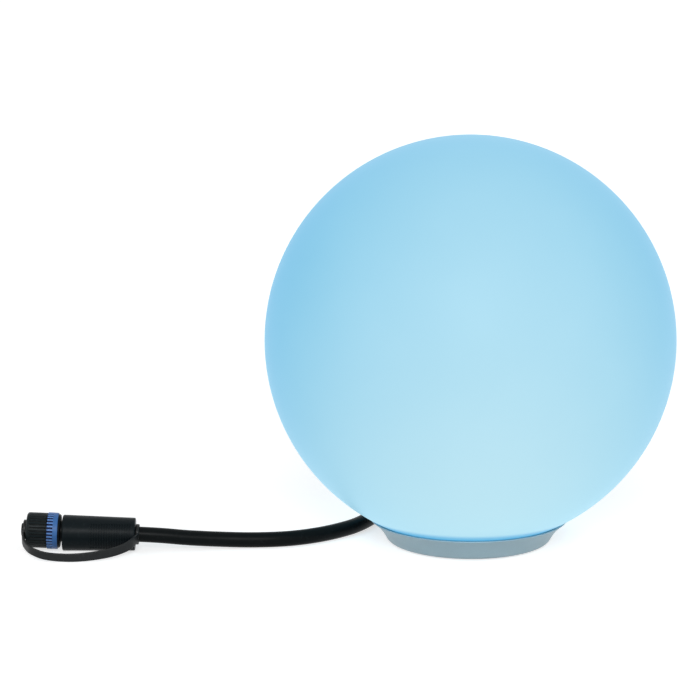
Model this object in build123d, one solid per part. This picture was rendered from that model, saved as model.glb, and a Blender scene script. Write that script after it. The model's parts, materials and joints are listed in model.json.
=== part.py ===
from build123d import *
from math import asin, atan, cos, degrees, hypot, radians, sin, sqrt, tan
import os

# Garden globe light: an opal globe on a low dish-shaped base, with a short rubber lead that ends
# in a sealed two-pole plug, its coupling nut and a tethered dust cap.
# Millimetres, +Z up. The origin is on the ground under the middle of the globe, the front is -Y,
# and the lead runs off to -X.

# Globe
globe_r = 100.0
globe_wall = 2.5
globe_seat_z = 10.6
globe_mouth_r = 34.0
globe_flange_t = 3.0
globe_boss_r = 3.4
globe_boss_top_z = 20.0
gasket_inner_gap = 0.6
gasket_outer_gap = 0.4

# Base shell: a conical wall under a flat deck, open below
base_low_z = 0.6
base_foot_r = 39.9
base_rim_r = 48.7
base_rim_z = 11.9
base_rim_inner_r = 47.8
base_wall_hollow = 0.95
base_foot_round = 2.7
base_rim_round = 0.4
deck_top_z = 9.6
deck_t = 2.0
deck_edge_r = 45.3
deck_hole_r = 26.0
skirt_inner_top_r = 42.6
skirt_inner_low_r = 38.6
lip_inner_r = 36.9
lip_top_z = 2.4
passage_spare = 1.0

# Bottom cover, feet and vent
cover_r = 36.6
cover_top_z = 2.2
cover_rib_top_z = 3.6
cover_rib_t = 1.4
cover_ring_rib_r = 20.0
cover_radial_ribs = 8
cover_rib_start_r = 6.0
cover_round = 0.4
foot_r = 4.0
foot_ring_r = 27.0
foot_recess = 0.5
foot_round = 0.3
vent_hole_r = 2.5
vent_sunk = 0.3
vent_bevel = 0.5
vent_head_r = 4.2
vent_head_t = 1.2

# Screws
screws_per_ring = 4
screw_r = 1.5
screw_gap = 0.05
screw_tip_gap = 0.3
pan_head_r = 2.8
pan_head_h = 2.0
head_round_share = 0.45
hex_recess_share = 0.8
hex_recess_depth = 0.9
slot_w = 0.8
slot_depth = 0.6
globe_screw_ring_r = 38.5
globe_screw_top_z = 17.5
sink_screw_ring_r = 30.3
sink_screw_top_z = 15.0
cover_screw_ring_r = 32.5
cover_screw_top_z = 7.4
cover_boss_r = 3.2
cover_boss_hole_top_z = 8.2
cover_head_r = 3.0

# Heat sink: a finned pot that closes the deck's opening from above
sink_flange_r = 33.0
sink_flange_t = 2.8
sink_wall_r = 25.8
sink_bore_r = 23.2
sink_plate_low_z = 24.0
sink_top_z = 27.2
fin_count = 20
fin_t = 1.6
fin_low_reach_r = 32.2
fin_top_reach_r = 28.8
fin_root_r = 25.4
join_depth = 0.2
sink_pad_r = 3.0
sink_pad_top_z = 16.0
sink_pad_ring_r = 29.9
seal_groove_in_r = 26.5
seal_groove_out_r = 28.3
seal_groove_depth = 1.5
sink_seal_r = 27.4
sink_seal_t = 1.5
post_r = 2.4
post_ring_r = 17.5
post_low_z = 13.6
post_hole_r = 1.1
post_hole_top_z = 20.0
led_wire_hole_r = 2.5

# Boards and light source
control_board_r = 22.0
control_board_low_z = 12.0
board_t = 1.6
board_hole_gap = 0.1
board_screw_tip_gap = 0.5
board_screw_head_r = 2.2
board_screw_head_h = 1.6
led_board_r = 24.0
led_screw_ring_r = 20.5
led_screw_r = 1.25
led_screw_depth = 2.4
led_head_r = 2.4
led_head_h = 1.6
led_hole_gap = 0.2
led_count = 8
led_ring_r = 13.5
led_side = 5.0
led_h = 1.2
led_window_r = 1.9
led_window_h = 0.3
lens_seal_t = 0.7
lens_wall = 1.4
lens_skirt_z = 33.0
lens_crown_z = 44.0
capacitor_r = 4.0
capacitor_h = 9.0
capacitor_reach = 9.5
capacitor_round = 0.6
coil_r = 4.6
coil_waist_r = 3.4
coil_h = 5.0
coil_flange_t = 1.0
chip_side = (7.0, 5.0, 1.6)
chip_reach = 16.0
radio_side = (4.0, 4.0, 2.4)
capacitor_turn = 45.0
coil_turn = 135.0
chip_turn = 112.5
terminal_side = (9.0, 11.0, 5.6)
terminal_reach = 14.0
terminal_entry_r = 1.1
terminal_entry_depth = 5.0
terminal_entry_drop = 1.0
terminal_screw_r = 1.3
terminal_screw_spread = 1.6
terminal_screw_end = 0.8

# Lead and its gland
lead_d = 7.5
lead_azimuth = 50.0
lead_z = 4.6
lead_stub_start = 38.9
gland_tip = 65.0
gland_wall_r = 4.25
gland_sleeve_gap = 0.05
gland_shoulder = 46.8
gland_root_r = 4.5
gland_tip_r = 4.05
gland_slots = 5
gland_slot_w = 1.0
gland_slot_pitch = 3.0
gland_slot_floor_r = 4.02
gland_first_slot = 2.2
gland_bridge_w = 2.4
gland_shoulder_bevel = 0.6
core_r = 0.9
core_spacing = 3.2
core_bend_reach = 25.5
core_bend_r = 3.0
core_lead_in = 2.0
core_inset = 4.5

# Plug. Its own axis runs from the back of the grip, where s = 0, to the nose.
plug_back_x = -162.8
plug_y = -20.5
plug_ground_gap = 0.05
plug_tilt = 2.5
grip_len = 35.2
grip_back_r = 7.97
grip_front_r = 8.75
grip_back_round = 0.5
grip_front_round = 0.7
grip_bore_len = 22.0
grip_bore_spare = 1.0
groove_count = 16
groove_pitch = 1.25
groove_w = 0.6
groove_depth = 0.35
groove_first_s = 2.2
groove_half_height = 6.2
neck_r = 5.1
flange_r = 6.4
flange_span = (37.9, 38.7)
nose_r = 4.6
nose_end_s = 49.0
chamber_r = 3.3
chamber_floor_s = 43.0
nose_groove_r = 3.95
nose_groove_span = (41.05, 42.35)
nose_seal_t = 1.2
pin_r = 0.75
pin_spacing = 3.0
pin_span = (30.0, 48.0)
pin_round_share = 0.7
key_slot_side = (1.0, 1.4, 4.0)

# Coupling nut and its grip ring
nut_back_s = 36.2
nut_web_end_s = 37.6
nut_front_s = 42.55
nut_shoulder_r = 8.2
nut_sleeve_r = 7.95
nut_bore_r = 7.1
nut_neck_gap = 0.1
nut_round = 0.9
ring_back_s = 37.35
ring_r = 8.85
ring_back_round = 0.35
ring_front_round = 0.3
ring_teeth = 32
tooth_gap_r = 0.5
tooth_back_s = 39.65
tooth_gap_inset = 0.05

# Dust cap
cap_back_s = 42.85
cap_front_s = 52.7
cap_r = 8.55
cap_front_round = 1.3
cap_spigot_s = 39.0
cap_spigot_r = 6.8
cap_bore_r = 5.5
cap_bore_end_s = 50.2
cap_grooves = 32
cap_groove_r = 0.42
cap_groove_offset = 0.08
cap_groove_end_s = 51.3
cap_seal_t = 0.9
button_stem_r = 1.9
button_root_s = 50.9
button_head_s = 54.65
button_end_s = 55.3
button_head_r = 3.1
button_round = 0.45

# Tether strap
eye_span = (52.98, 54.4)
eye_r = 4.85
eye_hole_r = 2.25
eye_tab_end = 8.5
eye_tab_drop = 1.2
strap_w = 3.9
strap_t = 1.3
strap_gap = 1.3
collar_back_s = -1.9
collar_front_s = -0.15
collar_r = 5.0
collar_round = 0.4
collar_bore_gap = 0.05
# The band leaves the eye towards the front, sinks to the ground and comes back up to the collar.
strap_route = [
    (-216.6, plug_y - eye_tab_end - strap_gap, 9.0),
    (-215.2, -35.4, 7.6),
    (-209.5, -39.6, 4.5),
    (-202.0, -41.6, 2.8),
    (-193.0, -41.9, 2.35),
    (-183.0, -40.4, 2.4),
    (-173.5, -36.6, 3.0),
    (-166.6, -32.3, 4.2),
    (-161.7, -29.6, 6.6),
    (-161.6, -25.2, 7.6),
]

# Places of the screw rings, counted from the lead's own direction
globe_screw_turn = 22.5
sink_screw_turn = 22.5
cover_screw_turn = 45.0
post_turn = 45.0


def polar(reach, azimuth):
    return reach * cos(radians(azimuth)), reach * sin(radians(azimuth))


gland_end = polar(gland_tip, lead_azimuth)
first_bend = polar(gland_tip + 10.0, lead_azimuth)
# The lead loops back behind the globe, then comes forward to the left and rises to the plug.
lead_route = [
    (gland_end[0], gland_end[1], lead_z),
    (first_bend[0], first_bend[1], lead_z),
    (55.7, 71.6, 4.3),
    (58.0, 91.5, 3.95),
    (49.0, 112.0, 3.8),
    (31.0, 124.5, 3.8),
    (8.8, 126.0, 3.8),
    (-10.2, 116.4, 3.8),
    (-24.0, 98.0, 3.8),
    (-33.5, 70.5, 3.8),
    (-43.2, 37.0, 3.8),
    (-53.5, 13.0, 3.8),
    (-65.6, -0.2, 3.8),
    (-77.6, -8.9, 3.8),
    (-90.5, -14.2, 3.8),
    (-106.0, -16.3, 3.9),
    (-122.0, -17.4, 4.6),
    (-138.0, -19.4, 5.9),
]
lead_last_run = 10.0


def place_parts(part, ring_r, turn, count=screws_per_ring):
    """Copies of a part set at a radius, evenly round +Z."""
    return [Rot(0, 0, turn + 360 / count * i) * Pos(ring_r, 0, 0) * part for i in range(count)]


def turned(outline):
    """A solid turned about +Z from a closed outline of (radius, height) points."""
    return revolve(Plane.XZ * make_face(Polyline(*outline, close=True)), Axis.Z)


def turned_edges(edges):
    return revolve(Plane.XZ * make_face(Curve() + edges), Axis.Z)


def disc(radius, low, high):
    return Pos(0, 0, low) * extrude(Circle(radius), amount=high - low)


def ring(inner_r, outer_r, low, high):
    return Pos(0, 0, low) * extrude(Circle(outer_r) - Circle(inner_r), amount=high - low)


def circles_at(part, radius, height):
    """The circular edges of a turned part that have a radius and a height."""
    near = 0.01
    found = part.edges().filter_by(GeomType.CIRCLE)
    return found.filter_by(
        lambda edge: abs(edge.radius - radius) < near and abs(edge.arc_center.Z - height) < near
    )


def sphere_reach(radius, height):
    """How far a sphere about the globe's middle reaches from +Z at a height."""
    return sqrt(radius**2 - (globe_r - height) ** 2)


def pan_screw(head_low, head_high, head_r, shank_r, tip_z):
    head = disc(head_r, head_low, head_high)
    head = fillet(circles_at(head, head_r, head_low), (head_high - head_low) * head_round_share)
    hexagon = RegularPolygon(shank_r * hex_recess_share, 6)
    recess = Pos(0, 0, head_low) * extrude(hexagon, amount=hex_recess_depth)
    return head - recess + disc(shank_r, head_high, tip_z)


# Globe and base


def globe_diffuser():
    inner_r = globe_r - globe_wall
    flange_top = globe_seat_z + globe_flange_t
    seat = (sphere_reach(globe_r, globe_seat_z), globe_seat_z)
    inner_foot = (sphere_reach(inner_r, flange_top), flange_top)
    crown = (0, 2 * globe_r)
    inner_crown = (0, globe_r + inner_r)
    body = turned_edges(
        [
            ThreePointArc(crown, (globe_r, globe_r), seat),
            Line(seat, (globe_mouth_r, globe_seat_z)),
            Line((globe_mouth_r, globe_seat_z), (globe_mouth_r, flange_top)),
            Line((globe_mouth_r, flange_top), inner_foot),
            ThreePointArc(inner_foot, (inner_r, globe_r), inner_crown),
            Line(inner_crown, crown),
        ]
    )
    boss = disc(globe_boss_r, flange_top, globe_boss_top_z)
    hole = disc(screw_r + screw_gap, globe_seat_z, globe_screw_top_z)
    turn = lead_azimuth + globe_screw_turn
    body += place_parts(boss, globe_screw_ring_r, turn)
    return body - place_parts(hole, globe_screw_ring_r, turn)


def gland_passage():
    """The space that the gland needs through the base: a round hole, open to the ground."""
    hole_r = gland_wall_r + gland_sleeve_gap
    start = lip_inner_r - passage_spare
    reach = base_rim_r + passage_spare - start
    hole = Pos(start, 0, lead_z) * Rot(0, 90, 0) * disc(hole_r, 0, reach)
    slot = Pos(start + reach / 2, 0, lead_z / 2) * Box(reach, 2 * hole_r, lead_z)
    return Rot(0, 0, lead_azimuth) * (hole + slot)


def base_shell():
    foot = (base_foot_r, base_low_z)
    rim = (base_rim_r, base_rim_z - base_rim_round)
    rim_top = (base_rim_r - base_rim_round, base_rim_z)
    rim_middle = (base_rim_r - 0.3 * base_rim_round, base_rim_z - 0.3 * base_rim_round)
    run = (rim[0] - foot[0], rim[1] - foot[1])
    length = hypot(*run)
    wall_middle = (
        (foot[0] + rim[0]) / 2 - run[1] / length * base_wall_hollow,
        (foot[1] + rim[1]) / 2 + run[0] / length * base_wall_hollow,
    )
    deck_low_z = deck_top_z - deck_t
    inside = [
        rim_top,
        (base_rim_inner_r, base_rim_z),
        (deck_edge_r, deck_top_z),
        (deck_hole_r, deck_top_z),
        (deck_hole_r, deck_low_z),
        (skirt_inner_top_r, deck_low_z),
        (skirt_inner_low_r, lip_top_z),
        (lip_inner_r, lip_top_z),
        (lip_inner_r, base_low_z),
        foot,
    ]
    wall = ThreePointArc(foot, wall_middle, rim)
    shell = turned_edges([wall, ThreePointArc(rim, rim_middle, rim_top), Polyline(*inside)])
    shell = fillet(circles_at(shell, base_foot_r, base_low_z), base_foot_round)
    turn = lead_azimuth + cover_screw_turn
    boss = disc(cover_boss_r, cover_top_z, deck_low_z)
    shell += place_parts(boss, cover_screw_ring_r, turn)
    boss_hole = disc(screw_r + screw_gap, cover_top_z, cover_boss_hole_top_z)
    shell -= place_parts(boss_hole, cover_screw_ring_r, turn)
    deck_hole = disc(screw_r + screw_gap, deck_low_z, deck_top_z)
    shell -= place_parts(deck_hole, globe_screw_ring_r, lead_azimuth + globe_screw_turn)
    shell -= place_parts(deck_hole, sink_screw_ring_r, lead_azimuth + sink_screw_turn)
    return shell - gland_passage()


def base_cover():
    cover = disc(cover_r, base_low_z, cover_top_z)
    cover = fillet(circles_at(cover, cover_r, base_low_z), cover_round)
    rib_h = cover_rib_top_z - cover_top_z
    cover += ring(
        cover_ring_rib_r - cover_rib_t / 2,
        cover_ring_rib_r + cover_rib_t / 2,
        cover_top_z,
        cover_rib_top_z,
    )
    rib_end_r = cover_ring_rib_r - cover_rib_t / 2 + join_depth
    rib_len = rib_end_r - cover_rib_start_r
    rib = Pos(0, 0, cover_top_z + rib_h / 2) * Box(rib_len, cover_rib_t, rib_h)
    rib_middle_r = cover_rib_start_r + rib_len / 2
    cover += place_parts(rib, rib_middle_r, lead_azimuth + globe_screw_turn, cover_radial_ribs)
    cover -= disc(vent_hole_r, base_low_z, cover_top_z)
    cover -= place_parts(
        disc(foot_r + screw_gap, base_low_z, base_low_z + foot_recess),
        foot_ring_r,
        lead_azimuth,
    )
    cover -= place_parts(
        sunk_head(screw_gap), cover_screw_ring_r, lead_azimuth + cover_screw_turn
    )
    return cover


def sunk_head(gap):
    """The countersunk head and the shank that pass through the bottom cover."""
    head_h = cover_head_r - screw_r
    outline = [
        (0, base_low_z),
        (cover_head_r + gap, base_low_z),
        (screw_r + gap, base_low_z + head_h),
        (screw_r + gap, cover_top_z),
        (0, cover_top_z),
    ]
    return turned(outline)


def cover_screws():
    slot = Pos(0, 0, base_low_z + slot_depth / 2) * Box(2 * cover_head_r, slot_w, slot_depth)
    screw = sunk_head(0) + disc(screw_r, cover_top_z, cover_screw_top_z) - slot
    return place_parts(screw, cover_screw_ring_r, lead_azimuth + cover_screw_turn)


def rubber_feet():
    foot = disc(foot_r, 0, base_low_z + foot_recess)
    foot = fillet(circles_at(foot, foot_r, 0), foot_round)
    return place_parts(foot, foot_ring_r, lead_azimuth)


def vent_plug():
    stem_r = vent_hole_r - screw_gap
    low_z = base_low_z + vent_sunk
    head_top_z = cover_top_z + vent_head_t
    outline = [
        (0, low_z),
        (stem_r - vent_bevel, low_z),
        (stem_r, low_z + vent_bevel),
        (stem_r, cover_top_z),
        (vent_head_r, cover_top_z),
        (vent_head_r - vent_bevel, head_top_z),
        (0, head_top_z),
    ]
    return turned(outline)


def globe_gasket():
    inner_r = globe_mouth_r + gasket_inner_gap
    outer_r = sphere_reach(globe_r, globe_seat_z) - gasket_outer_gap
    gasket = ring(inner_r, outer_r, deck_top_z, globe_seat_z)
    hole = disc(screw_r + screw_gap, deck_top_z, globe_seat_z)
    return gasket - place_parts(hole, globe_screw_ring_r, lead_azimuth + globe_screw_turn)


def globe_screws():
    head_high = deck_top_z - deck_t
    tip_z = globe_screw_top_z - screw_tip_gap
    screw = pan_screw(head_high - pan_head_h, head_high, pan_head_r, screw_r, tip_z)
    return place_parts(screw, globe_screw_ring_r, lead_azimuth + globe_screw_turn)


# Light module


def cooling_fin():
    """One upright fin: a plate from the pot's wall whose outer edge leans in towards the top."""
    low = deck_top_z + sink_flange_t - join_depth
    outline = [
        (fin_root_r, low),
        (fin_low_reach_r, low),
        (fin_top_reach_r, sink_top_z),
        (fin_root_r, sink_top_z),
    ]
    plate = Plane.XZ * make_face(Polyline(*outline, close=True))
    return extrude(plate, amount=fin_t / 2, both=True)


def heat_sink():
    deck_low_z = deck_top_z - deck_t
    flange_top = deck_top_z + sink_flange_t
    outline = [
        (sink_bore_r, deck_low_z),
        (sink_wall_r, deck_low_z),
        (sink_wall_r, deck_top_z),
        (sink_flange_r, deck_top_z),
        (sink_flange_r, flange_top),
        (sink_wall_r, flange_top),
        (sink_wall_r, sink_top_z),
        (led_wire_hole_r, sink_top_z),
        (led_wire_hole_r, sink_plate_low_z),
        (sink_bore_r, sink_plate_low_z),
    ]
    sink = turned(outline)
    screw_turn = lead_azimuth + sink_screw_turn
    sink += place_parts(cooling_fin(), 0, screw_turn + 180 / fin_count, fin_count)
    pad = disc(sink_pad_r, flange_top, sink_pad_top_z)
    sink += place_parts(pad, sink_pad_ring_r, screw_turn)
    post = disc(post_r, post_low_z, sink_plate_low_z)
    post_hole = disc(post_hole_r, post_low_z, post_hole_top_z)
    sink += place_parts(post, post_ring_r, lead_azimuth + post_turn)
    sink -= place_parts(post_hole, post_ring_r, lead_azimuth + post_turn)
    screw_hole = disc(screw_r + screw_gap, deck_top_z, sink_screw_top_z)
    sink -= place_parts(screw_hole, sink_screw_ring_r, screw_turn)
    led_hole = disc(led_screw_r + screw_gap, sink_top_z - led_screw_depth, sink_top_z)
    sink -= place_parts(led_hole, led_screw_ring_r, lead_azimuth + cover_screw_turn)
    return sink - ring(
        seal_groove_in_r, seal_groove_out_r, deck_top_z, deck_top_z + seal_groove_depth
    )


def sink_seal():
    return Pos(0, 0, deck_top_z + sink_seal_t / 2) * Torus(sink_seal_r, sink_seal_t / 2)


def sink_screws():
    head_high = deck_top_z - deck_t
    tip_z = sink_screw_top_z - screw_tip_gap
    screw = pan_screw(head_high - pan_head_h, head_high, pan_head_r, screw_r, tip_z)
    return place_parts(screw, sink_screw_ring_r, lead_azimuth + sink_screw_turn)


def control_board():
    top = control_board_low_z + board_t
    board = disc(control_board_r, control_board_low_z, top)
    hole = disc(post_hole_r + board_hole_gap, control_board_low_z, top)
    return board - place_parts(hole, post_ring_r, lead_azimuth + post_turn)


def board_screws():
    head_low = control_board_low_z - board_screw_head_h
    shank_r = post_hole_r - screw_gap
    tip_z = post_hole_top_z - board_screw_tip_gap
    screw = pan_screw(head_low, control_board_low_z, board_screw_head_r, shank_r, tip_z)
    return place_parts(screw, post_ring_r, lead_azimuth + post_turn)


def board_components():
    """Two capacitors, two coils, two chips and a radio module on the board's upper side."""
    top = control_board_low_z + board_t
    can_top = top + capacitor_h
    can = disc(capacitor_r, top, can_top)
    can = fillet(circles_at(can, capacitor_r, can_top), capacitor_round)
    coil = disc(coil_waist_r, top, top + coil_h)
    coil += disc(coil_r, top, top + coil_flange_t)
    coil += disc(coil_r, top + coil_h - coil_flange_t, top + coil_h)
    chip = Pos(0, 0, top + chip_side[2] / 2) * Box(*chip_side)
    made = place_parts(can, capacitor_reach, lead_azimuth + capacitor_turn, 2)
    made += place_parts(coil, capacitor_reach, lead_azimuth + coil_turn, 2)
    made += place_parts(chip, chip_reach, lead_azimuth + chip_turn, 2)
    made.append(Pos(0, 0, top + radio_side[2] / 2) * Box(*radio_side))
    return made


def terminal_block():
    """The two-way block under the board that takes the lead's cores."""
    low_z = control_board_low_z - terminal_side[2]
    middle_z = low_z + terminal_side[2] / 2
    block = Pos(terminal_reach, 0, middle_z) * Box(*terminal_side)
    entry_x = terminal_reach + terminal_side[0] / 2
    entry = Rot(0, 90, 0) * disc(terminal_entry_r, -terminal_entry_depth, 0)
    screw_well = disc(terminal_screw_r, low_z, middle_z - terminal_screw_end)
    for side in (-1, 1):
        y = side * core_spacing / 2
        block -= Pos(entry_x, y, middle_z - terminal_entry_drop) * entry
        block -= Pos(terminal_reach, y * terminal_screw_spread, 0) * screw_well
    return Rot(0, 0, lead_azimuth) * block


def inner_wires():
    """The lead's two cores, from the end of its jacket to the terminal block."""
    entry_z = control_board_low_z - terminal_side[2] / 2 - terminal_entry_drop
    entry_x = terminal_reach + terminal_side[0] / 2
    wires = []
    for side in (-1, 1):
        y = side * core_spacing / 2
        route = [
            (lead_stub_start, y, lead_z),
            (core_bend_reach, y, lead_z),
            (entry_x + core_lead_in, y, entry_z),
            (entry_x - core_inset, y, entry_z),
        ]
        path = FilletPolyline(*route, radius=core_bend_r)
        section = Plane(origin=path @ 0, z_dir=path % 0) * Circle(core_r)
        wires.append(Rot(0, 0, lead_azimuth) * sweep(section, path=path))
    return wires


def led_board():
    top = sink_top_z + board_t
    board = disc(led_board_r, sink_top_z, top)
    hole = disc(led_screw_r + led_hole_gap, sink_top_z, top)
    return board - place_parts(hole, led_screw_ring_r, lead_azimuth + cover_screw_turn)


def led_screws():
    board_top = sink_top_z + board_t
    tip_z = board_t + led_screw_depth - screw_tip_gap
    screw = pan_screw(-led_head_h, 0, led_head_r, led_screw_r, tip_z)
    flipped = Pos(0, 0, board_top) * Rot(180, 0, 0) * screw
    return place_parts(flipped, led_screw_ring_r, lead_azimuth + cover_screw_turn)


def led_chips():
    top = sink_top_z + board_t
    led = Pos(0, 0, top + led_h / 2) * Box(led_side, led_side, led_h)
    led += disc(led_window_r, top + led_h, top + led_h + led_window_h)
    return place_parts(led, led_ring_r, lead_azimuth, led_count) + [led]


def crown_arc(rim_r, rim_z, crown_z):
    """The round arc from a dome's rim up to its crown on the axis."""
    rise = crown_z - rim_z
    radius = (rim_r**2 + rise**2) / (2 * rise)
    half = asin(rim_r / radius) / 2
    middle = (radius * sin(half), crown_z - radius + radius * cos(half))
    return ThreePointArc((rim_r, rim_z), middle, (0, crown_z))


def inner_lens():
    """The clear dome that closes the light source."""
    low = sink_top_z + lens_seal_t
    inner_r = sink_wall_r - lens_wall
    inner_crown = lens_crown_z - lens_wall
    edges = [
        Line((inner_r, low), (sink_wall_r, low)),
        Line((sink_wall_r, low), (sink_wall_r, lens_skirt_z)),
        crown_arc(sink_wall_r, lens_skirt_z, lens_crown_z),
        Line((0, lens_crown_z), (0, inner_crown)),
        crown_arc(inner_r, lens_skirt_z, inner_crown),
        Line((inner_r, lens_skirt_z), (inner_r, low)),
    ]
    return turned_edges(edges)


def lens_seal():
    return ring(sink_wall_r - lens_wall, sink_wall_r, sink_top_z, sink_top_z + lens_seal_t)


# Lead


def lead_path():
    """Straight runs joined by tangent arcs, each as large as its two runs allow."""
    end = plug_place.position - plug_axis * lead_tail_s
    last_bend = end - plug_axis * lead_last_run
    points = [Vector(*p) for p in lead_route] + [last_bend, end]
    radii = []
    for before, here, after in zip(points, points[1:], points[2:]):
        turn = (here - before).get_angle(after - here)
        shorter = min((here - before).length, (after - here).length)
        radii.append(0.45 * shorter / tan(radians(turn) / 2))
    print("lead arc radii, mm:", [round(r, 1) for r in radii])
    return FilletPolyline(*points, radius=radii)


def lead():
    path = lead_path()
    section = Plane(origin=path @ 0, z_dir=path % 0) * Circle(lead_d / 2)
    tube = sweep(section, path=path)
    expected = Circle(lead_d / 2).area * path.length
    print("lead length, mm:", round(path.length, 1), "volume ratio:", round(tube.volume / expected, 4))
    return tube


def along_lead(part):
    """A part turned about +Z, laid on the gland's own axis through the base's wall."""
    return Rot(0, 0, lead_azimuth) * Pos(0, 0, lead_z) * Rot(0, 90, 0) * part


def lead_stub():
    """The jacket inside the gland, cut square where the cores come out."""
    return along_lead(disc(lead_d / 2, lead_stub_start, gland_tip))


def cable_gland():
    """The moulded strain relief: a plain fit through the wall and a slotted taper outside it."""
    bore_r = lead_d / 2
    outline = [
        (bore_r, lead_stub_start),
        (gland_wall_r, lead_stub_start),
        (gland_wall_r, gland_shoulder),
        (gland_root_r, gland_shoulder + gland_shoulder_bevel),
        (gland_tip_r, gland_tip),
        (bore_r, gland_tip),
    ]
    gland = turned(outline)
    bridge = Box(3 * gland_root_r, gland_bridge_w, 2 * gland_tip)
    for i in range(gland_slots):
        start = gland_shoulder + gland_first_slot + gland_slot_pitch * i
        slot = ring(gland_slot_floor_r, 2 * gland_root_r, start, start + gland_slot_w)
        gland -= slot - Rot(0, 0, 90 * (i % 2)) * bridge
    return along_lead(gland)


# Plug, in its own frame: +Z from the back of the grip to the nose, +X up. The grip's cone lies
# flat on the ground, while the plug's axis rises to the nose.
grip_taper = degrees(atan((grip_front_r - grip_back_r) / grip_len))
grip_sag = plug_tilt - grip_taper


def grip_radius(s):
    return grip_back_r + (grip_front_r - grip_back_r) * s / grip_len


def plug_grip():
    """The overmoulded grip, tapering to the back, with finger grooves on both flanks."""
    grip = turned([(0, 0), (grip_back_r, 0), (grip_front_r, grip_len), (0, grip_len)])
    grip = fillet(circles_at(grip, grip_back_r, 0), grip_back_round)
    grip = fillet(circles_at(grip, grip_front_r, grip_len), grip_front_round)
    flank = Box(2 * groove_half_height, 4 * grip_front_r, 2 * grip_len)
    for i in range(groove_count):
        s = groove_first_s + groove_pitch * i
        groove = ring(grip_radius(s) - groove_depth, 2 * grip_front_r, s, s + groove_w)
        grip -= groove & flank
    grip = Rot(0, -grip_sag, 0) * grip
    grip -= disc(lead_d / 2, -grip_bore_spare, grip_bore_len)
    return grip - disc(neck_r, grip_bore_len, grip_len + grip_bore_spare)


def plug_insert():
    """The contact carrier: tail in the grip, neck, stop flange and open nose."""
    outline = [
        (0, grip_bore_len),
        (neck_r, grip_bore_len),
        (neck_r, flange_span[0]),
        (flange_r, flange_span[0]),
        (flange_r, flange_span[1]),
        (nose_r, flange_span[1]),
        (nose_r, nose_groove_span[0]),
        (nose_groove_r, nose_groove_span[0]),
        (nose_groove_r, nose_groove_span[1]),
        (nose_r, nose_groove_span[1]),
        (nose_r, nose_end_s),
        (chamber_r, nose_end_s),
        (chamber_r, chamber_floor_s),
        (0, chamber_floor_s),
    ]
    insert = turned(outline)
    insert -= Pos(nose_r, 0, nose_end_s - key_slot_side[2] / 2) * Box(*key_slot_side)
    for side in (-1, 1):
        insert -= Pos(0, side * pin_spacing / 2, 0) * disc(pin_r, pin_span[0], chamber_floor_s)
    return insert


def contact_pins():
    pin = disc(pin_r, *pin_span)
    pin = fillet(circles_at(pin, pin_r, pin_span[1]), pin_r * pin_round_share)
    return [Pos(0, side * pin_spacing / 2, 0) * pin for side in (-1, 1)]


def nose_seal():
    middle = sum(nose_groove_span) / 2
    return Pos(0, 0, middle) * Torus(nose_groove_r + nose_seal_t / 2, nose_seal_t / 2)


def coupling_nut():
    """The nut behind the nose: a web held by the stop flange, and a sleeve with the thread."""
    hole_r = neck_r + nut_neck_gap
    outline = [
        (hole_r, nut_back_s),
        (nut_shoulder_r, nut_back_s),
        (nut_shoulder_r, ring_back_s),
        (nut_sleeve_r, ring_back_s),
        (nut_sleeve_r, nut_front_s),
        (nut_bore_r, nut_front_s),
        (nut_bore_r, nut_web_end_s),
        (hole_r, nut_web_end_s),
    ]
    nut = turned(outline)
    return fillet(circles_at(nut, nut_shoulder_r, nut_back_s), nut_round)


def grip_ring():
    """The coloured ring on the nut: a smooth band behind a band of rounded teeth."""
    band = ring(nut_sleeve_r, ring_r, ring_back_s, nut_front_s)
    band = fillet(circles_at(band, ring_r, ring_back_s), ring_back_round)
    band = fillet(circles_at(band, ring_r, nut_front_s), ring_front_round)
    gap = disc(tooth_gap_r, tooth_back_s, nut_front_s)
    return band - place_parts(gap, ring_r - tooth_gap_inset, 0, ring_teeth)


def dust_cap():
    outline = [
        (cap_bore_r, cap_spigot_s),
        (cap_spigot_r, cap_spigot_s),
        (cap_spigot_r, cap_back_s),
        (cap_r, cap_back_s),
        (cap_r, cap_front_s),
        (0, cap_front_s),
        (0, cap_bore_end_s),
        (cap_bore_r, cap_bore_end_s),
    ]
    cap = turned(outline)
    cap = fillet(circles_at(cap, cap_r, cap_front_s), cap_front_round)
    groove = disc(cap_groove_r, cap_back_s, cap_groove_end_s)
    cap -= place_parts(groove, cap_r + cap_groove_offset, 0, cap_grooves)
    return cap - disc(button_stem_r, button_root_s, cap_front_s)


def cap_seal():
    return ring(button_stem_r, cap_bore_r, cap_bore_end_s - cap_seal_t, cap_bore_end_s)


def cap_button():
    outline = [
        (0, button_root_s),
        (button_stem_r, button_root_s),
        (button_stem_r, button_head_s),
        (button_head_r, button_head_s),
        (button_head_r, button_end_s),
        (0, button_end_s),
    ]
    return fillet(circles_at(turned(outline), button_head_r, button_end_s), button_round)


def strap_eye():
    """The flat eye behind the cap's button, with the tab that the band grows from."""
    low, high = eye_span
    eye = disc(eye_r, low, high)
    tab = Pos(-eye_tab_drop, -eye_tab_end / 2, (low + high) / 2) * Box(strap_w, eye_tab_end, high - low)
    return eye + tab - disc(eye_hole_r, low, high)


def strap_collar():
    """The end ring of the strap, on the lead behind the grip."""
    collar = ring(lead_d / 2 + collar_bore_gap, collar_r, collar_back_s, collar_front_s)
    return fillet(circles_at(collar, collar_r, collar_back_s), collar_round)


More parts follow.
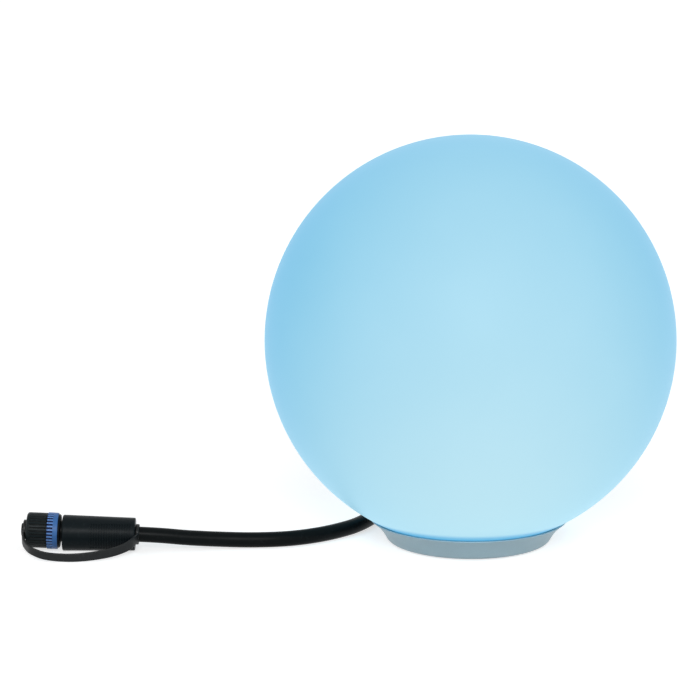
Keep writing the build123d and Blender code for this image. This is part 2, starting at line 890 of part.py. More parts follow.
def strap_band():
    """The flat band on edge: straight runs joined by arcs, wide side upright."""
    points = [Vector(*p) for p in strap_route]
    radii = []
    for before, here, after in zip(points, points[1:], points[2:]):
        turn = (here - before).get_angle(after - here)
        shorter = min((here - before).length, (after - here).length)
        radii.append(0.45 * shorter / tan(radians(turn) / 2))
    path = FilletPolyline(*points, radius=radii)
    start = Plane(origin=path @ 0, x_dir=(path % 0).cross(Vector(0, 0, 1)), z_dir=path % 0)
    band = sweep(start * Rectangle(strap_t, strap_w), path=path, is_frenet=False)
    expected = strap_t * strap_w * path.length
    print("strap length, mm:", round(path.length, 1), "volume ratio:", round(band.volume / expected, 4))
    return band


plug_axis = Vector(-cos(radians(plug_tilt)), 0, sin(radians(plug_tilt)))
plug_up = Vector(sin(radians(plug_tilt)), 0, cos(radians(plug_tilt)))
plug_back_z = grip_back_r * cos(radians(grip_taper)) + plug_ground_gap
plug_place = Plane(origin=(plug_back_x, plug_y, plug_back_z), x_dir=plug_up, z_dir=plug_axis).location
lead_tail_s = -collar_back_s


def in_plug(made):
    """A part, or a list of parts, moved from the plug's own frame to its place."""
    if isinstance(made, list):
        return [plug_place * one for one in made]
    return plug_place * made


def lead_tail():
    """The jacket inside the strap's collar and the grip."""
    return in_plug(disc(lead_d / 2, collar_back_s, grip_bore_len))


def tether_strap():
    return in_plug(strap_collar()) + strap_band()


parts = {
    "globe_diffuser": globe_diffuser(),
    "base_shell": base_shell(),
    "base_cover": base_cover(),
    "cover_screws": cover_screws(),
    "rubber_feet": rubber_feet(),
    "vent_plug": vent_plug(),
    "globe_gasket": globe_gasket(),
    "globe_screws": globe_screws(),
    "heat_sink": heat_sink(),
    "heat_sink_seal": sink_seal(),
    "heat_sink_screws": sink_screws(),
    "control_board": control_board(),
    "control_board_screws": board_screws(),
    "board_components": board_components(),
    "terminal_block": terminal_block(),
    "inner_wires": inner_wires(),
    "led_board": led_board(),
    "led_board_screws": led_screws(),
    "led_chips": led_chips(),
    "inner_lens": inner_lens(),
    "lens_seal": lens_seal(),
    "cable_gland": cable_gland(),
    "lead_stub": lead_stub(),
    "lead": lead(),
    "lead_tail": lead_tail(),
    "plug_grip": in_plug(plug_grip()),
    "plug_insert": in_plug(plug_insert()),
    "contact_pins": in_plug(contact_pins()),
    "nose_seal": in_plug(nose_seal()),
    "coupling_nut": in_plug(coupling_nut()),
    "grip_ring": in_plug(grip_ring()),
    "dust_cap": in_plug(dust_cap()),
    "cap_seal": in_plug(cap_seal()),
    "cap_button": in_plug(cap_button()),
    "strap_eye": in_plug(strap_eye()),
    "tether_strap": tether_strap(),
}

os.makedirs("parts", exist_ok=True)
for name, made in parts.items():
    if isinstance(made, list):
        made = Compound(children=made)
    export_step(made, f"parts/{name}.step")
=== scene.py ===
import json
import math

import bmesh
import bpy
from mathutils import Matrix, Vector


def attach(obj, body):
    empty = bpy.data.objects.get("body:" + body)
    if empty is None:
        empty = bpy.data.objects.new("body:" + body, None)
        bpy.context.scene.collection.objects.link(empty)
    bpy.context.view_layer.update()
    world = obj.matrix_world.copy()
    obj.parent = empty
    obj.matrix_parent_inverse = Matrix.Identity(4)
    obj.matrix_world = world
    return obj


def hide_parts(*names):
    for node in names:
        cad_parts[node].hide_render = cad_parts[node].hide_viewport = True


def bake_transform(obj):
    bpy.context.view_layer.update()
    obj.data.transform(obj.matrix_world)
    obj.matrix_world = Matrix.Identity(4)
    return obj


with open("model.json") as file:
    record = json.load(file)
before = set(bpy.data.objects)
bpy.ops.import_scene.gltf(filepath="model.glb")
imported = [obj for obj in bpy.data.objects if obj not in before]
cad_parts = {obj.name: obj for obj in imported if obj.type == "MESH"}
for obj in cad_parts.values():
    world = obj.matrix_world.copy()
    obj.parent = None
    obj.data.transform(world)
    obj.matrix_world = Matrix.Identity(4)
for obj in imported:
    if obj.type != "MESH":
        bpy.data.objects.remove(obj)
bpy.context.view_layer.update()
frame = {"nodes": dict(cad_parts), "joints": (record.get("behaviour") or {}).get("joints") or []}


# ---- Camera ---------------------------------------------------------------------------------
# The light stands a little right of the picture's middle and is seen from in front, from about
# knee height, through a long lens.

mm = 0.001
image_side = 696
camera_place = Vector((-59.4, -1468.5, 406.0)) * mm
camera_aim = Vector((-59.4, 0.0, 96.2)) * mm
camera_focus_pixels = 3082.5
camera_sensor = 36.0
nearest_seen = 0.05
farthest_seen = 50.0

camera_data = bpy.data.cameras.new("camera")
camera_data.sensor_width = camera_sensor
camera_data.lens = camera_focus_pixels / image_side * camera_sensor
camera_data.clip_start = nearest_seen
camera_data.clip_end = farthest_seen
camera = bpy.data.objects.new("camera", camera_data)
camera.location = camera_place
camera.rotation_euler = (camera_aim - camera_place).to_track_quat("-Z", "Y").to_euler()
bpy.context.scene.collection.objects.link(camera)
bpy.context.scene.camera = camera


# ---- Lead -----------------------------------------------------------------------------------
# A round two-core lead in a smooth black rubber jacket, 7.5 mm thick. It leaves the gland at the
# back of the base, loops behind the globe, then lies on the ground to the left and rises a little
# to the plug.

lead_thickness = 7.5 * mm
gland_end = (41.78, 49.79, 4.6)
# In millimetres: from the gland round behind the globe, forward to the left, and up to the end
# of the plug.
lead_route = [
    gland_end,
    (48.2, 57.5, 4.6),
    (55.7, 71.6, 4.3),
    (58.0, 91.5, 3.95),
    (49.0, 112.0, 3.8),
    (31.0, 124.5, 3.8),
    (8.8, 126.0, 3.8),
    (-10.2, 116.4, 3.8),
    (-24.0, 98.0, 3.8),
    (-33.5, 70.5, 3.8),
    (-43.2, 37.0, 3.8),
    (-53.5, 13.0, 3.8),
    (-65.6, -0.2, 3.8),
    (-77.6, -8.9, 3.8),
    (-90.5, -14.2, 3.8),
    (-106.0, -16.3, 3.9),
    (-122.0, -17.4, 4.6),
    (-138.0, -19.4, 5.9),
    (-150.91, -20.5, 7.5),
    (-160.9, -20.5, 7.94),
]
# The skin of every black rubber and nylon piece: patches of sheen, and paler spots from rubbing.
sheen_patch = 6 * mm
sheen_swing = 0.12
rubbed_spot = 1.7 * mm
rubbed_limits = (0.52, 0.78)
rubbed_share = 0.6
fine_grain_share = 0.5


class Wire:
    """The output socket of a shader node. Arithmetic on wires and numbers adds Math nodes."""

    def __init__(self, socket):
        self.socket = socket

    def math(self, operation, left, right=0.0, clamp=False):
        node = self.socket.id_data.nodes.new("ShaderNodeMath")
        node.operation = operation
        node.use_clamp = clamp
        feed(node.inputs[0], left)
        feed(node.inputs[1], right)
        return Wire(node.outputs[0])

    def __add__(self, other):
        return self.math("ADD", self, other)

    def __radd__(self, other):
        return self.math("ADD", other, self)

    def __sub__(self, other):
        return self.math("SUBTRACT", self, other)

    def __rsub__(self, other):
        return self.math("SUBTRACT", other, self)

    def __mul__(self, other):
        return self.math("MULTIPLY", self, other)

    def __rmul__(self, other):
        return self.math("MULTIPLY", other, self)

    def __truediv__(self, other):
        return self.math("DIVIDE", self, other)

    def __rtruediv__(self, other):
        return self.math("DIVIDE", other, self)

    def clamped(self):
        return self.math("ADD", self, 0.0, clamp=True)


def feed(socket, value):
    """Links a wire to a socket, or sets the socket to a plain value."""
    if isinstance(value, Wire):
        socket.id_data.links.new(value.socket, socket)
    else:
        socket.default_value = value


def paint(red, green, blue):
    """A colour written as 0 to 255 a channel, the way it looks on a screen."""
    light = []
    for level in (red / 255, green / 255, blue / 255):
        light.append(level / 12.92 if level <= 0.04045 else ((level + 0.055) / 1.055) ** 2.4)
    return (*light, 1.0)


class Finish:
    """One material: a Principled shader whose steady values are set straight on its sockets.

    Where it is given the world's node tree, it only adds nodes to that.
    """

    def __init__(self, name, tree=None, **steady):
        if tree is None:
            self.material = bpy.data.materials.new(name)
            self.material.use_nodes = True
            tree = self.material.node_tree
        self.tree = tree
        self.shader = tree.nodes.get("Principled BSDF")
        for socket, value in steady.items():
            self.set(socket.replace("_", " "), value)

    def node(self, kind, settings=None, sockets=None, output=0):
        """Any node: its settings first, then the values or wires of its sockets."""
        made = self.tree.nodes.new(kind)
        for key, value in (settings or {}).items():
            setattr(made, key, value)
        for key, value in (sockets or {}).items():
            feed(made.inputs[key], value)
        return Wire(made.outputs[output])

    def set(self, socket, value):
        feed(self.shader.inputs[socket], value)

    def place(self):
        """The point on the surface, in metres from the object's origin."""
        return self.node("ShaderNodeTexCoord", output="Object")

    def along(self, name):
        """One coordinate of the point on the surface: X, Y or Z."""
        return self.node("ShaderNodeSeparateXYZ", sockets={0: self.place()}, output=name)

    def noise(self, size, detail=2.0, roughness=0.5):
        """Cloudy noise from 0 to 1 whose lumps are about this size, in metres."""
        lumps = {"Scale": 1 / size, "Detail": detail, "Roughness": roughness}
        return self.node("ShaderNodeTexNoise", sockets={"Vector": self.place(), **lumps})

    def cells(self, size):
        """Distance to the middle of the nearest cell, for grain of about this size, in metres."""
        sockets = {"Vector": self.place(), "Scale": 1 / size}
        return self.node("ShaderNodeTexVoronoi", sockets=sockets)

    def ramp(self, wire, low, high):
        """A smooth step of a wire: 0 at the first value and 1 at the second."""
        settings = {"interpolation_type": "SMOOTHSTEP"}
        sockets = {"Value": wire, "From Min": low, "From Max": high}
        return self.node("ShaderNodeMapRange", settings, sockets)

    def mix(self, share, first, second):
        """Two colours mixed by a share from 0 to 1."""
        sockets = {0: share, 6: first, 7: second}
        return self.node("ShaderNodeMix", {"data_type": "RGBA"}, sockets, output=2)

    def about_axis(self, foot, axis):
        """Where the point on the surface is about an axis: its distance and its run along it."""
        kind = "ShaderNodeVectorMath"
        arm = self.node(kind, {"operation": "SUBTRACT"}, {0: self.place(), 1: foot})
        across = self.node(kind, {"operation": "CROSS_PRODUCT"}, {0: arm, 1: axis})
        reach = self.node(kind, {"operation": "LENGTH"}, {0: across}, output="Value")
        run = self.node(kind, {"operation": "DOT_PRODUCT"}, {0: arm, 1: axis}, output="Value")
        return reach, run

    def colour(self, share, first, second):
        """Base colour from one colour to another, by a share from 0 to 1."""
        self.set("Base Color", self.mix(share, first, second))

    def darken(self, share, colour):
        """Takes the base colour towards another one by a share from 0 to 1."""
        present = Wire(self.shader.inputs["Base Color"].links[0].from_socket)
        self.colour(share, present, colour)

    def sheen(self, wire, smoothest, swing):
        """Roughness that follows a wire from its smoothest value up by a swing."""
        self.set("Roughness", smoothest + wire * swing)

    def bump(self, height, depth):
        """Raises the surface by height times depth, in metres."""
        sockets = {"Height": height, "Distance": depth}
        self.set("Normal", self.node("ShaderNodeBump", sockets=sockets))


def black_rubber(name, colour, worn, roughness, grain_size, grain_depth, gloss=0.06):
    """Moulded rubber or nylon: cloudy sheen, faint paler rubbing and a fine moulded grain."""
    finish = Finish(name, Specular_IOR_Level=gloss)
    cloud = finish.noise(sheen_patch, detail=4.0)
    rubbing = finish.noise(rubbed_spot, detail=5.0, roughness=0.65)
    finish.colour(finish.ramp(rubbing, *rubbed_limits) * rubbed_share, colour, worn)
    finish.sheen(cloud, roughness - sheen_swing / 2, sheen_swing)
    fine_grain = finish.noise(grain_size / 2) * fine_grain_share
    finish.bump(finish.cells(grain_size) + fine_grain, grain_depth)
    return finish


def smooth_curve(name, points, thickness=0.0):
    """A NURBS curve over points in millimetres, round and of this thickness in metres."""
    data = bpy.data.curves.new(name, "CURVE")
    data.dimensions = "3D"
    data.resolution_u = 16
    data.bevel_depth = thickness / 2
    data.bevel_resolution = 8
    data.use_fill_caps = thickness > 0
    spline = data.splines.new("NURBS")
    spline.points.add(len(points) - 1)
    for control, point in zip(spline.points, points):
        control.co = (*(Vector(point) * mm), 1.0)
    spline.order_u = 3
    spline.use_endpoint_u = True
    made = bpy.data.objects.new(name, data)
    bpy.context.scene.collection.objects.link(made)
    return made


def dress(finish, *names):
    """Gives CAD nodes a finish."""
    for name in names:
        for place in frame["nodes"][name].material_slots:
            place.material = finish.material


jacket = black_rubber(
    "lead_jacket", paint(10, 14, 15), worn=paint(28, 32, 34), roughness=0.36,
    grain_size=0.35 * mm, grain_depth=0.012 * mm,
)
dress(jacket, "lead_stub", "lead_tail")

lead = smooth_curve("garden_lead", lead_route, lead_thickness)
lead.data.materials.append(jacket.material)
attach(lead, "root")
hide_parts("lead")


# ---- Plug grip, gland and contact carrier ---------------------------------------------------
# Black thermoplastic rubber moulded straight onto the lead: the grip with its finger grooves and
# the slotted strain relief at the base. The carrier inside the grip is harder black nylon.

# The plug's own axis, from the joint that its nut turns on: s = 0 is the back of the grip.
nut_joint = next(joint for joint in frame["joints"] if joint["name"] == "coupling_nut_turn")
nut_joint_s = 40.0 * mm
plug_axis = Vector(nut_joint["axis"])
plug_side = Vector((0.0, 1.0, 0.0))
plug_up = plug_side.cross(plug_axis)
plug_turn = Matrix((plug_up, plug_side, plug_axis)).transposed().to_4x4()
plug_back = Vector(nut_joint["pos_m"]) - plug_axis * nut_joint_s
plug_place = Matrix.Translation(plug_back) @ plug_turn

grip_rubber = black_rubber(
    "grip_rubber", paint(16, 23, 26), worn=paint(36, 44, 47), roughness=0.36,
    grain_size=0.3 * mm, grain_depth=0.014 * mm,
)
black_nylon = black_rubber(
    "black_nylon", paint(10, 14, 15), worn=paint(28, 33, 35), roughness=0.34,
    grain_size=0.22 * mm, grain_depth=0.006 * mm,
)
dress(grip_rubber, "plug_grip", "cable_gland")
dress(black_nylon, "plug_insert")


# ---- Contact pins and nose seal -------------------------------------------------------------
# Two turned brass pins in the plug's nose, and the silicone ring in its groove. Both are under
# the dust cap.

brass = Finish("contact_brass", Metallic=1.0, Base_Color=paint(214, 176, 104))
brass.sheen(brass.noise(0.6 * mm), smoothest=0.22, swing=0.14)
dress(brass, "contact_pins")

silicone = Finish("silicone", Roughness=0.46, Subsurface_Weight=0.08)
silicone.colour(silicone.noise(1.5 * mm), paint(196, 92, 66), paint(214, 112, 84))
dress(silicone, "nose_seal")


# ---- Coupling nut, cap and button -----------------------------------------------------------
# Black nylon mouldings: the nut, the grooved cap that screws into it, and the button that holds
# the strap on the cap. The cap is a little paler, with painted shade in its grooves, and a
# silicone seal inside.

cap_groove_radii = (8.5 * mm, 8.25 * mm)
cap_groove_end = (51.6 * mm, 51.2 * mm)
cap_groove_shade_share = 0.85

cap_nylon = black_rubber(
    "cap_nylon", paint(24, 31, 33), worn=paint(48, 56, 58), roughness=0.3,
    grain_size=0.22 * mm, grain_depth=0.006 * mm, gloss=0.07,
)
cap_reach, cap_run = cap_nylon.about_axis(plug_back, plug_axis)
in_groove = cap_nylon.ramp(cap_reach, *cap_groove_radii)
# Painted shade: the cap's grooves are darkened where shade falls in them.
cap_groove_shade = in_groove * cap_nylon.ramp(cap_run, *cap_groove_end)
cap_nylon.darken(cap_groove_shade * cap_groove_shade_share, paint(4, 5, 6))
dress(cap_nylon, "dust_cap")
dress(black_nylon, "coupling_nut", "cap_button")
dress(silicone, "cap_seal")


# ---- Grip ring ------------------------------------------------------------------------------
# A blue nylon ring pressed on the nut, with a smooth band and a band of rounded teeth. The teeth
# have painted highlights on their tips and painted shade in their gaps.

teeth_begin = (39.5 * mm, 39.8 * mm)
tooth_highlight_radii = (8.6 * mm, 8.8 * mm)
tooth_highlight_share = 0.8
tooth_gap_shade_radii = (8.75 * mm, 8.5 * mm)

ring_blue = Finish("ring_blue", Specular_IOR_Level=0.14)
ring_cloud = ring_blue.noise(3 * mm, detail=3.0)
ring_blue.colour(ring_cloud, paint(52, 93, 148), paint(68, 112, 170))
ring_reach, ring_run = ring_blue.about_axis(plug_back, plug_axis)
toothed = ring_blue.ramp(ring_run, *teeth_begin)
# Painted highlight: the tips of the teeth are made paler where light catches them.
tooth_tip_highlight = toothed * ring_blue.ramp(ring_reach, *tooth_highlight_radii)
ring_blue.darken(tooth_tip_highlight * tooth_highlight_share, paint(98, 138, 198))
# Painted shade: the gaps between the teeth are darkened.
ring_blue.darken(ring_blue.ramp(ring_reach, *tooth_gap_shade_radii), paint(0, 12, 56))
ring_blue.sheen(ring_cloud, smoothest=0.28, swing=0.1)
ring_blue.bump(ring_blue.noise(0.25 * mm), depth=0.004 * mm)
dress(ring_blue, "grip_ring")


# ---- Tether strap ---------------------------------------------------------------------------
# One soft black rubber moulding: an eye behind the cap's button, a flat band that stands on edge
# and a collar on the lead behind the grip. It gives when the cap is unscrewed.

strap_thickness = 1.3 * mm
strap_width = 3.45 * mm
strap_root_width = 4.6 * mm
strap_corner = 0.3 * mm
strap_voxel = 0.2 * mm
strap_smoothing = {"factor": 0.5, "iterations": 4}
# In millimetres: from inside the eye, round the front of the plug close to the ground, into the
# collar.
strap_route = [
    (-216.9, -23.5, 9.4),
    (-216.95, -28.6, 7.3),
    (-214.4, -33.6, 5.0),
    (-211.7, -38.2, 4.45),
    (-205.2, -41.2, 2.65),
    (-193.6, -42.2, 2.05),
    (-183.2, -41.0, 2.5),
    (-173.3, -37.6, 3.4),
    (-166.4, -33.2, 4.85),
    (-163.1, -29.8, 6.65),
    (-161.7, -24.9, 7.4),
]
eye_middle_s = 53.69 * mm
eye_thickness = 1.42 * mm
eye_radius = 4.85 * mm
eye_hole_radius = 2.35 * mm
collar_span = (-1.9 * mm, -0.2 * mm)
collar_radius = 5.0 * mm
collar_bore = 3.8 * mm


def points_along(name, points):
    """Points of the smooth curve over a route, close together."""
    guide = smooth_curve(name, points)
    bpy.context.view_layer.update()
    line = bpy.data.meshes.new_from_object(guide)
    found = [vertex.co.copy() for vertex in line.vertices]
    bpy.data.objects.remove(guide)
    bpy.data.meshes.remove(line)
    return found


def rounded_section(thickness, width, corner, steps=3):
    """A rectangle with round corners, as points about its middle."""
    outline = []
    for turn, (side, height) in enumerate(((1, 1), (-1, 1), (-1, -1), (1, -1))):
        for step in range(steps + 1):
            angle = math.radians(90 * turn + 90 * step / steps)
            outline.append((
                side * (thickness / 2 - corner) + corner * math.cos(angle),
                height * (width / 2 - corner) + corner * math.sin(angle),
            ))
    return outline


def add_loops(build, loops, closed=False):
    """Skins a row of point loops; the ends are filled unless the row is closed."""
    rows = [[build.verts.new(point) for point in loop] for loop in loops]
    pairs = list(zip(rows, rows[1:])) + ([(rows[-1], rows[0])] if closed else [])
    for near, far in pairs:
        for i in range(len(near)):
            j = (i + 1) % len(near)
            build.faces.new((near[i], near[j], far[j], far[i]))
    if not closed:
        build.faces.new(list(reversed(rows[0])))
        build.faces.new(rows[-1])


def add_band(build, line, thickness, widths, corner):
    """A flat band on edge along a line, its width changing from one end to the other."""
    loops = []
    for i, point in enumerate(line):
        ahead = (line[min(i + 1, len(line) - 1)] - line[max(i - 1, 0)]).normalized()
        side = ahead.cross(Vector((0.0, 0.0, 1.0))).normalized()
        up = side.cross(ahead)
        share = i / (len(line) - 1)
        eased = share * share * (3 - 2 * share)
        width = widths[0] + (widths[1] - widths[0]) * eased
        section = rounded_section(thickness, width, corner)
        loops.append([point + side * a + up * b for a, b in section])
    add_loops(build, loops)


def add_ring(build, place, inner, outer, low, high, corner, segments=96):
    """A flat ring about an axis, with round corners."""
    middle_reach = (inner + outer) / 2
    middle_height = (low + high) / 2
    section = rounded_section(outer - inner, high - low, corner)
    loops = []
    for i in range(segments):
        angle = 2 * math.pi * i / segments
        loop = []
        for across, along in section:
            reach = middle_reach + across
            height = middle_height + along
            loop.append(place @ Vector((reach * math.cos(angle), reach * math.sin(angle), height)))
        loops.append(loop)
    add_loops(build, loops, closed=True)


def finished_mesh(name, build, finish):
    """Turns a bmesh into a smooth-shaded object with a finish."""
    bmesh.ops.recalc_face_normals(build, faces=build.faces)
    data = bpy.data.meshes.new(name)
    build.to_mesh(data)
    build.free()
    for face in data.polygons:
        face.use_smooth = True
    made = bpy.data.objects.new(name, data)
    bpy.context.scene.collection.objects.link(made)
    made.data.materials.append(finish.material)
    return made


def settle(piece, *modifiers):
    """Applies modifiers to a mesh: pairs of a kind and its settings."""
    for kind, settings in modifiers:
        added = piece.modifiers.new(kind.lower(), kind)
        for key, value in settings.items():
            setattr(added, key, value)
    evaluated = piece.evaluated_get(bpy.context.evaluated_depsgraph_get())
    data = bpy.data.meshes.new_from_object(evaluated)
    piece.modifiers.clear()
    piece.data = data
    for face in data.polygons:
        face.use_smooth = True


strap_rubber = black_rubber(
    "strap_rubber", paint(18, 21, 22), worn=paint(40, 44, 45), roughness=0.38,
    grain_size=0.3 * mm, grain_depth=0.01 * mm, gloss=0.24,
)
strap_build = bmesh.new()
strap_line = points_along("strap_line", strap_route)
strap_widths = (strap_width, strap_root_width)
add_band(strap_build, strap_line, strap_thickness, strap_widths, strap_corner)
eye_low = eye_middle_s - eye_thickness / 2
eye_high = eye_middle_s + eye_thickness / 2
add_ring(strap_build, plug_place, eye_hole_radius, eye_radius, eye_low, eye_high, strap_corner)
add_ring(strap_build, plug_place, collar_bore, collar_radius, *collar_span, strap_corner)
strap = finished_mesh("tether_strap_moulding", strap_build, strap_rubber)
settle(
    strap,
    ("REMESH", {"mode": "VOXEL", "voxel_size": strap_voxel}),
    ("SMOOTH", strap_smoothing),
)
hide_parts("tether_strap", "strap_eye")
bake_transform(strap)


# ---- Globe ----------------------------------------------------------------------------------
# A one-piece opal globe, blow moulded in white polyethylene 2.5 mm thick, satin outside and lit
# pale blue from below. Four screws from under the base hold its flat flange.

globe_radius = 100.0 * mm
globe_wall = 2.5 * mm
globe_mouth_radius = 34.0 * mm
globe_seat = 10.6 * mm
globe_flange_top = 13.6 * mm
globe_segments = 256
globe_rings = 160

# The lamp inside makes the foot brightest, then the middle, and the top dimmer. Painted shade
# makes both flanks dimmer, and painted light from the right side leaves the left flank the dimmest.
glow_at_middle = 0.42
glow_loss_upwards = 0.98
glow_gain_at_ends = 1.17
painted_light_rightwards = 0.2
painted_shade_at_flanks = 0.94
glow_cloud_share = 0.04
dim_glow = paint(108, 193, 224)
bright_glow = paint(213, 237, 241)
# Where it meets the base's rim, the globe has a deeper blue band, partly the flange's shade on the
# inner lamp's light and partly painted shade, with a painted shadow line in the gap under it.
rim_shade_heights = (17.0 * mm, 13.5 * mm)
rim_shade_glow = paint(112, 194, 228)
rim_shadow_heights = (12.3 * mm, 11.6 * mm)
rim_shadow_glow = paint(52, 128, 168)
# The skin is faintly rippled, more by its broad waves than by its fine ones.
broad_ripple_share = 2.0
ripple_depth = 0.004 * mm

opal = Finish(
    "opal_globe", Specular_IOR_Level=0.1, Roughness=0.5,
    Coat_Weight=1.0, Coat_IOR=1.1, Coat_Roughness=0.4, Coat_Tint=(0.75, 0.88, 0.95, 1.0),
)
opal_rise = opal.along("Z") / (2 * globe_radius) - 0.5
opal_across = opal.along("X") / (2 * globe_radius)
opal_cloud = opal.noise(45 * mm)
glow = glow_at_middle - opal_rise * glow_loss_upwards
glow = glow + opal_rise * opal_rise * glow_gain_at_ends
# Painted light: the glow grows towards the right, as if lit from that side.
glow = glow + opal_across * painted_light_rightwards
# Painted shade: the glow falls off towards both flanks.
glow = glow - opal_across * opal_across * painted_shade_at_flanks
glow = glow + (opal_cloud - 0.5) * glow_cloud_share
opal_glow = opal.mix(glow.clamped(), dim_glow, bright_glow)
# Partly painted shade: a deeper blue band just above the base's rim.
rim_band_shade = opal.ramp(opal.along("Z"), *rim_shade_heights)
# Painted shadow: a dark line in the gap where the globe meets the rim.
rim_shadow_line = opal.ramp(opal.along("Z"), *rim_shadow_heights)
opal_glow = opal.mix(rim_band_shade, opal_glow, rim_shade_glow)
opal.set("Emission Color", opal.mix(rim_shadow_line, opal_glow, rim_shadow_glow))
opal.set("Emission Strength", 1.0)
opal.colour(opal_cloud, paint(138, 124, 106), paint(144, 130, 112))
opal_ripple = opal.noise(2.2 * mm) + opal.noise(9 * mm) * broad_ripple_share
opal.bump(opal_ripple, ripple_depth)


def level_loop(reach, height):
    """A level circle of points about the globe's upright axis."""
    turns = [2 * math.pi * i / globe_segments for i in range(globe_segments)]
    return [Vector((reach * math.cos(turn), reach * math.sin(turn), height)) for turn in turns]


def sphere_loop(radius, angle, middle_z):
    """A level loop of a sphere, at an angle down from its top."""
    return level_loop(radius * math.sin(angle), middle_z + radius * math.cos(angle))


def globe_mesh(build):
    """The outer skin, the flat flange, the mouth and the inner skin, with closed tops."""
    loops = []
    inner_radius = globe_radius - globe_wall
    outer_end = math.acos((globe_seat - globe_radius) / globe_radius)
    inner_end = math.acos((globe_flange_top - globe_radius) / inner_radius)
    for i in range(1, globe_rings + 1):
        loops.append(sphere_loop(globe_radius, outer_end * i / globe_rings, globe_radius))
    loops.append(level_loop(globe_mouth_radius, globe_seat))
    loops.append(level_loop(globe_mouth_radius, globe_flange_top))
    for i in range(globe_rings, 0, -1):
        loops.append(sphere_loop(inner_radius, inner_end * i / globe_rings, globe_radius))
    add_loops(build, loops)


globe_build = bmesh.new()
globe_mesh(globe_build)
globe = finished_mesh("opal_globe", globe_build, opal)
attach(globe, "root")
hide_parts("globe_diffuser")


# ---- Base shell and bottom cover ------------------------------------------------------------
# A shallow dish moulded in silver-grey polycarbonate with a fine satin skin. Its wall opens
# upwards to a thin rim round the globe, and a ribbed cover closes it from below.

fleck_limits = (0.55, 0.75)
fleck_share = 0.35

silver = Finish("silver_grey", Metallic=0.25, Specular_IOR_Level=0.4)
silver_cloud = silver.noise(14 * mm, detail=3.0)
silver_flecks = silver.ramp(silver.noise(0.25 * mm, detail=1.0), *fleck_limits)
# Partly painted light: a silver-grey tone with a blue cast that stands in for the globe's glow on
# it.
silver_glow_tone = silver.mix(silver_cloud, paint(150, 173, 182), paint(162, 185, 194))
silver.colour(silver_flecks * fleck_share, silver_glow_tone, paint(196, 208, 216))
silver.sheen(silver_cloud, smoothest=0.4, swing=0.08)
silver.bump(silver.cells(0.3 * mm), depth=0.006 * mm)
dress(silver, "base_shell", "base_cover")


# ---- Feet, vent and gasket ------------------------------------------------------------------
# Four soft pads that stop the light from sliding, a pressure vent in the middle of the cover and
# the flat gasket between the globe's flange and the base.

pad_rubber = black_rubber(
    "pad_rubber", paint(30, 31, 33), worn=paint(48, 49, 51), roughness=0.6,
    grain_size=0.4 * mm, grain_depth=0.01 * mm,
)
dress(pad_rubber, "rubber_feet", "vent_plug", "globe_gasket")


# ---- Screws ---------------------------------------------------------------------------------
# Stainless screws: slotted countersunk ones in the cover, and pan heads with a hexagon recess
# elsewhere.

steel = Finish("stainless", Metallic=1.0)
steel_grain = steel.noise(0.5 * mm, detail=3.0)
steel.colour(steel_grain, paint(190, 191, 192), paint(206, 207, 208))
steel.sheen(steel_grain, smoothest=0.24, swing=0.16)
dress(
    steel, "cover_screws", "globe_screws", "heat_sink_screws", "control_board_screws",
    "led_board_screws",
)


# ---- Heat sink ------------------------------------------------------------------------------
# A die-cast aluminium pot with upright fins, screwed on the base's deck over a silicone ring in
# its flange.

cast = Finish("cast_aluminium", Metallic=0.9)
cast_grain = cast.noise(0.7 * mm, detail=5.0, roughness=0.6)
cast.colour(cast_grain, paint(186, 188, 192), paint(210, 212, 216))
cast.sheen(cast_grain, smoothest=0.42, swing=0.2)
cast.bump(cast_grain, depth=0.03 * mm)
dress(cast, "heat_sink")
dress(silicone, "heat_sink_seal")


# ---- Boards and what is on them -------------------------------------------------------------
# A green control board hangs on posts in the pot and takes the lead's two cores, and a white
# aluminium-core board with the light source is screwed on the pot's top.

green_track_limits = (0.47, 0.53)
white_track_limits = (0.48, 0.52)
track_height = 0.03 * mm

board_green = Finish("board_green", Roughness=0.32, Specular_IOR_Level=0.5)
green_tracks = board_green.ramp(board_green.noise(2.4 * mm, detail=1.0), *green_track_limits)
board_green.colour(green_tracks, paint(14, 84, 48), paint(30, 112, 68))
board_green.bump(green_tracks, track_height)
dress(board_green, "control_board")

board_white = Finish("board_white", Roughness=0.35)
white_tracks = board_white.ramp(board_white.noise(4.0 * mm, detail=1.0), *white_track_limits)
board_white.colour(white_tracks, paint(236, 236, 232), paint(244, 244, 240))
board_white.bump(white_tracks, track_height)
dress(board_white, "led_board")

part_dark = Finish("component_dark", Roughness=0.45)
part_dark.colour(part_dark.noise(0.8 * mm), paint(30, 31, 34), paint(46, 47, 50))
part_dark.bump(part_dark.noise(0.2 * mm), depth=0.01 * mm)
dress(part_dark, "board_components")

terminal_grey = Finish("terminal_grey", Roughness=0.42)
terminal_grey.colour(terminal_grey.noise(2.0 * mm), paint(150, 154, 158), paint(168, 172, 176))
dress(terminal_grey, "terminal_block")

core_sleeve = Finish("core_sleeve", Roughness=0.4)
core_sleeve.colour(core_sleeve.noise(1.2 * mm), paint(150, 36, 30), paint(176, 52, 42))
dress(core_sleeve, "inner_wires")

phosphor = Finish("phosphor", Roughness=0.3)
phosphor.colour(phosphor.noise(0.3 * mm), paint(232, 214, 120), paint(244, 230, 150))
dress(phosphor, "led_chips")


# ---- Inner dome -----------------------------------------------------------------------------
# A clear polycarbonate dome pressed on a silicone ring over the light source.

clear = Finish("clear_dome", Transmission_Weight=1.0, IOR=1.58, Base_Color=paint(246, 250, 252))
clear.sheen(clear.noise(5 * mm), smoothest=0.05, swing=0.05)
dress(clear, "inner_lens")
dress(silicone, "lens_seal")


# ---- Studio ---------------------------------------------------------------------------------
# A plain pale floor that runs back out of sight and is lifted to white where it is seen, an even
# white surround, and three broad soft lamps: one in front and above, a weaker one at each side.

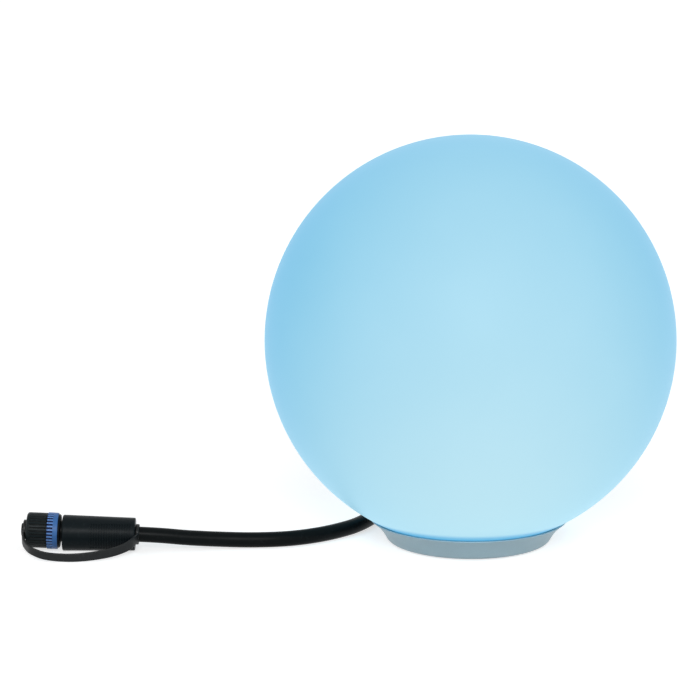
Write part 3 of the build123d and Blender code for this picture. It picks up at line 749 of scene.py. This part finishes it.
floor_half = 8.0
floor_squares = 8
floor_lift = 0.66
surround_level = 0.3
front_lamp_aim = (0.0, 0.87, -0.5)
front_lamp_level = 0.42
front_lamp_spread = 18
side_lamp_across = 0.8
side_lamp_inwards = 0.35
side_lamp_downwards = -0.5
side_lamp_level = 0.25
side_lamp_spread = 50
plain_white = (1.0, 1.0, 1.0, 1.0)


def background_rays(finish):
    """1 for the rays that show the background itself, else 0."""
    seen = finish.node("ShaderNodeLightPath", output="Is Camera Ray")
    mirrored = finish.node("ShaderNodeLightPath", output="Is Glossy Ray")
    through = finish.node("ShaderNodeLightPath", output="Is Transmission Ray")
    return (seen + mirrored + through).clamped()


def soft_lamp(name, towards, level, spread):
    """A broad lamp far away, shining along a direction. A white face towards it gains its level."""
    data = bpy.data.lights.new(name, "SUN")
    data.energy = level * math.pi
    data.angle = math.radians(spread)
    lamp = bpy.data.objects.new(name, data)
    lamp.rotation_euler = Vector(towards).to_track_quat("-Z", "Y").to_euler()
    bpy.context.scene.collection.objects.link(lamp)


white_floor = Finish(
    "studio_floor", Roughness=0.9, Specular_IOR_Level=0.0, Base_Color=paint(200, 200, 200),
    Emission_Color=plain_white,
)
white_floor.set("Emission Strength", background_rays(white_floor) * floor_lift)
floor_build = bmesh.new()
bmesh.ops.create_grid(
    floor_build, x_segments=floor_squares, y_segments=floor_squares, size=floor_half
)
floor = finished_mesh("studio_floor", floor_build, white_floor)

world = bpy.data.worlds.new("studio")
world.use_nodes = True
bpy.context.scene.world = world
surround = Finish("studio", tree=world.node_tree)
surround_light = world.node_tree.nodes["Background"]
surround_light.inputs["Color"].default_value = plain_white
surround_lift = background_rays(surround) * (1 - surround_level)
feed(surround_light.inputs["Strength"], surround_level + surround_lift)

soft_lamp("front_lamp", front_lamp_aim, front_lamp_level, front_lamp_spread)
for lamp_name, side in (("left_lamp", 1), ("right_lamp", -1)):
    aim = (side * side_lamp_across, side_lamp_inwards, side_lamp_downwards)
    soft_lamp(lamp_name, aim, side_lamp_level, side_lamp_spread)

bpy.context.scene.view_settings.view_transform = "Standard"
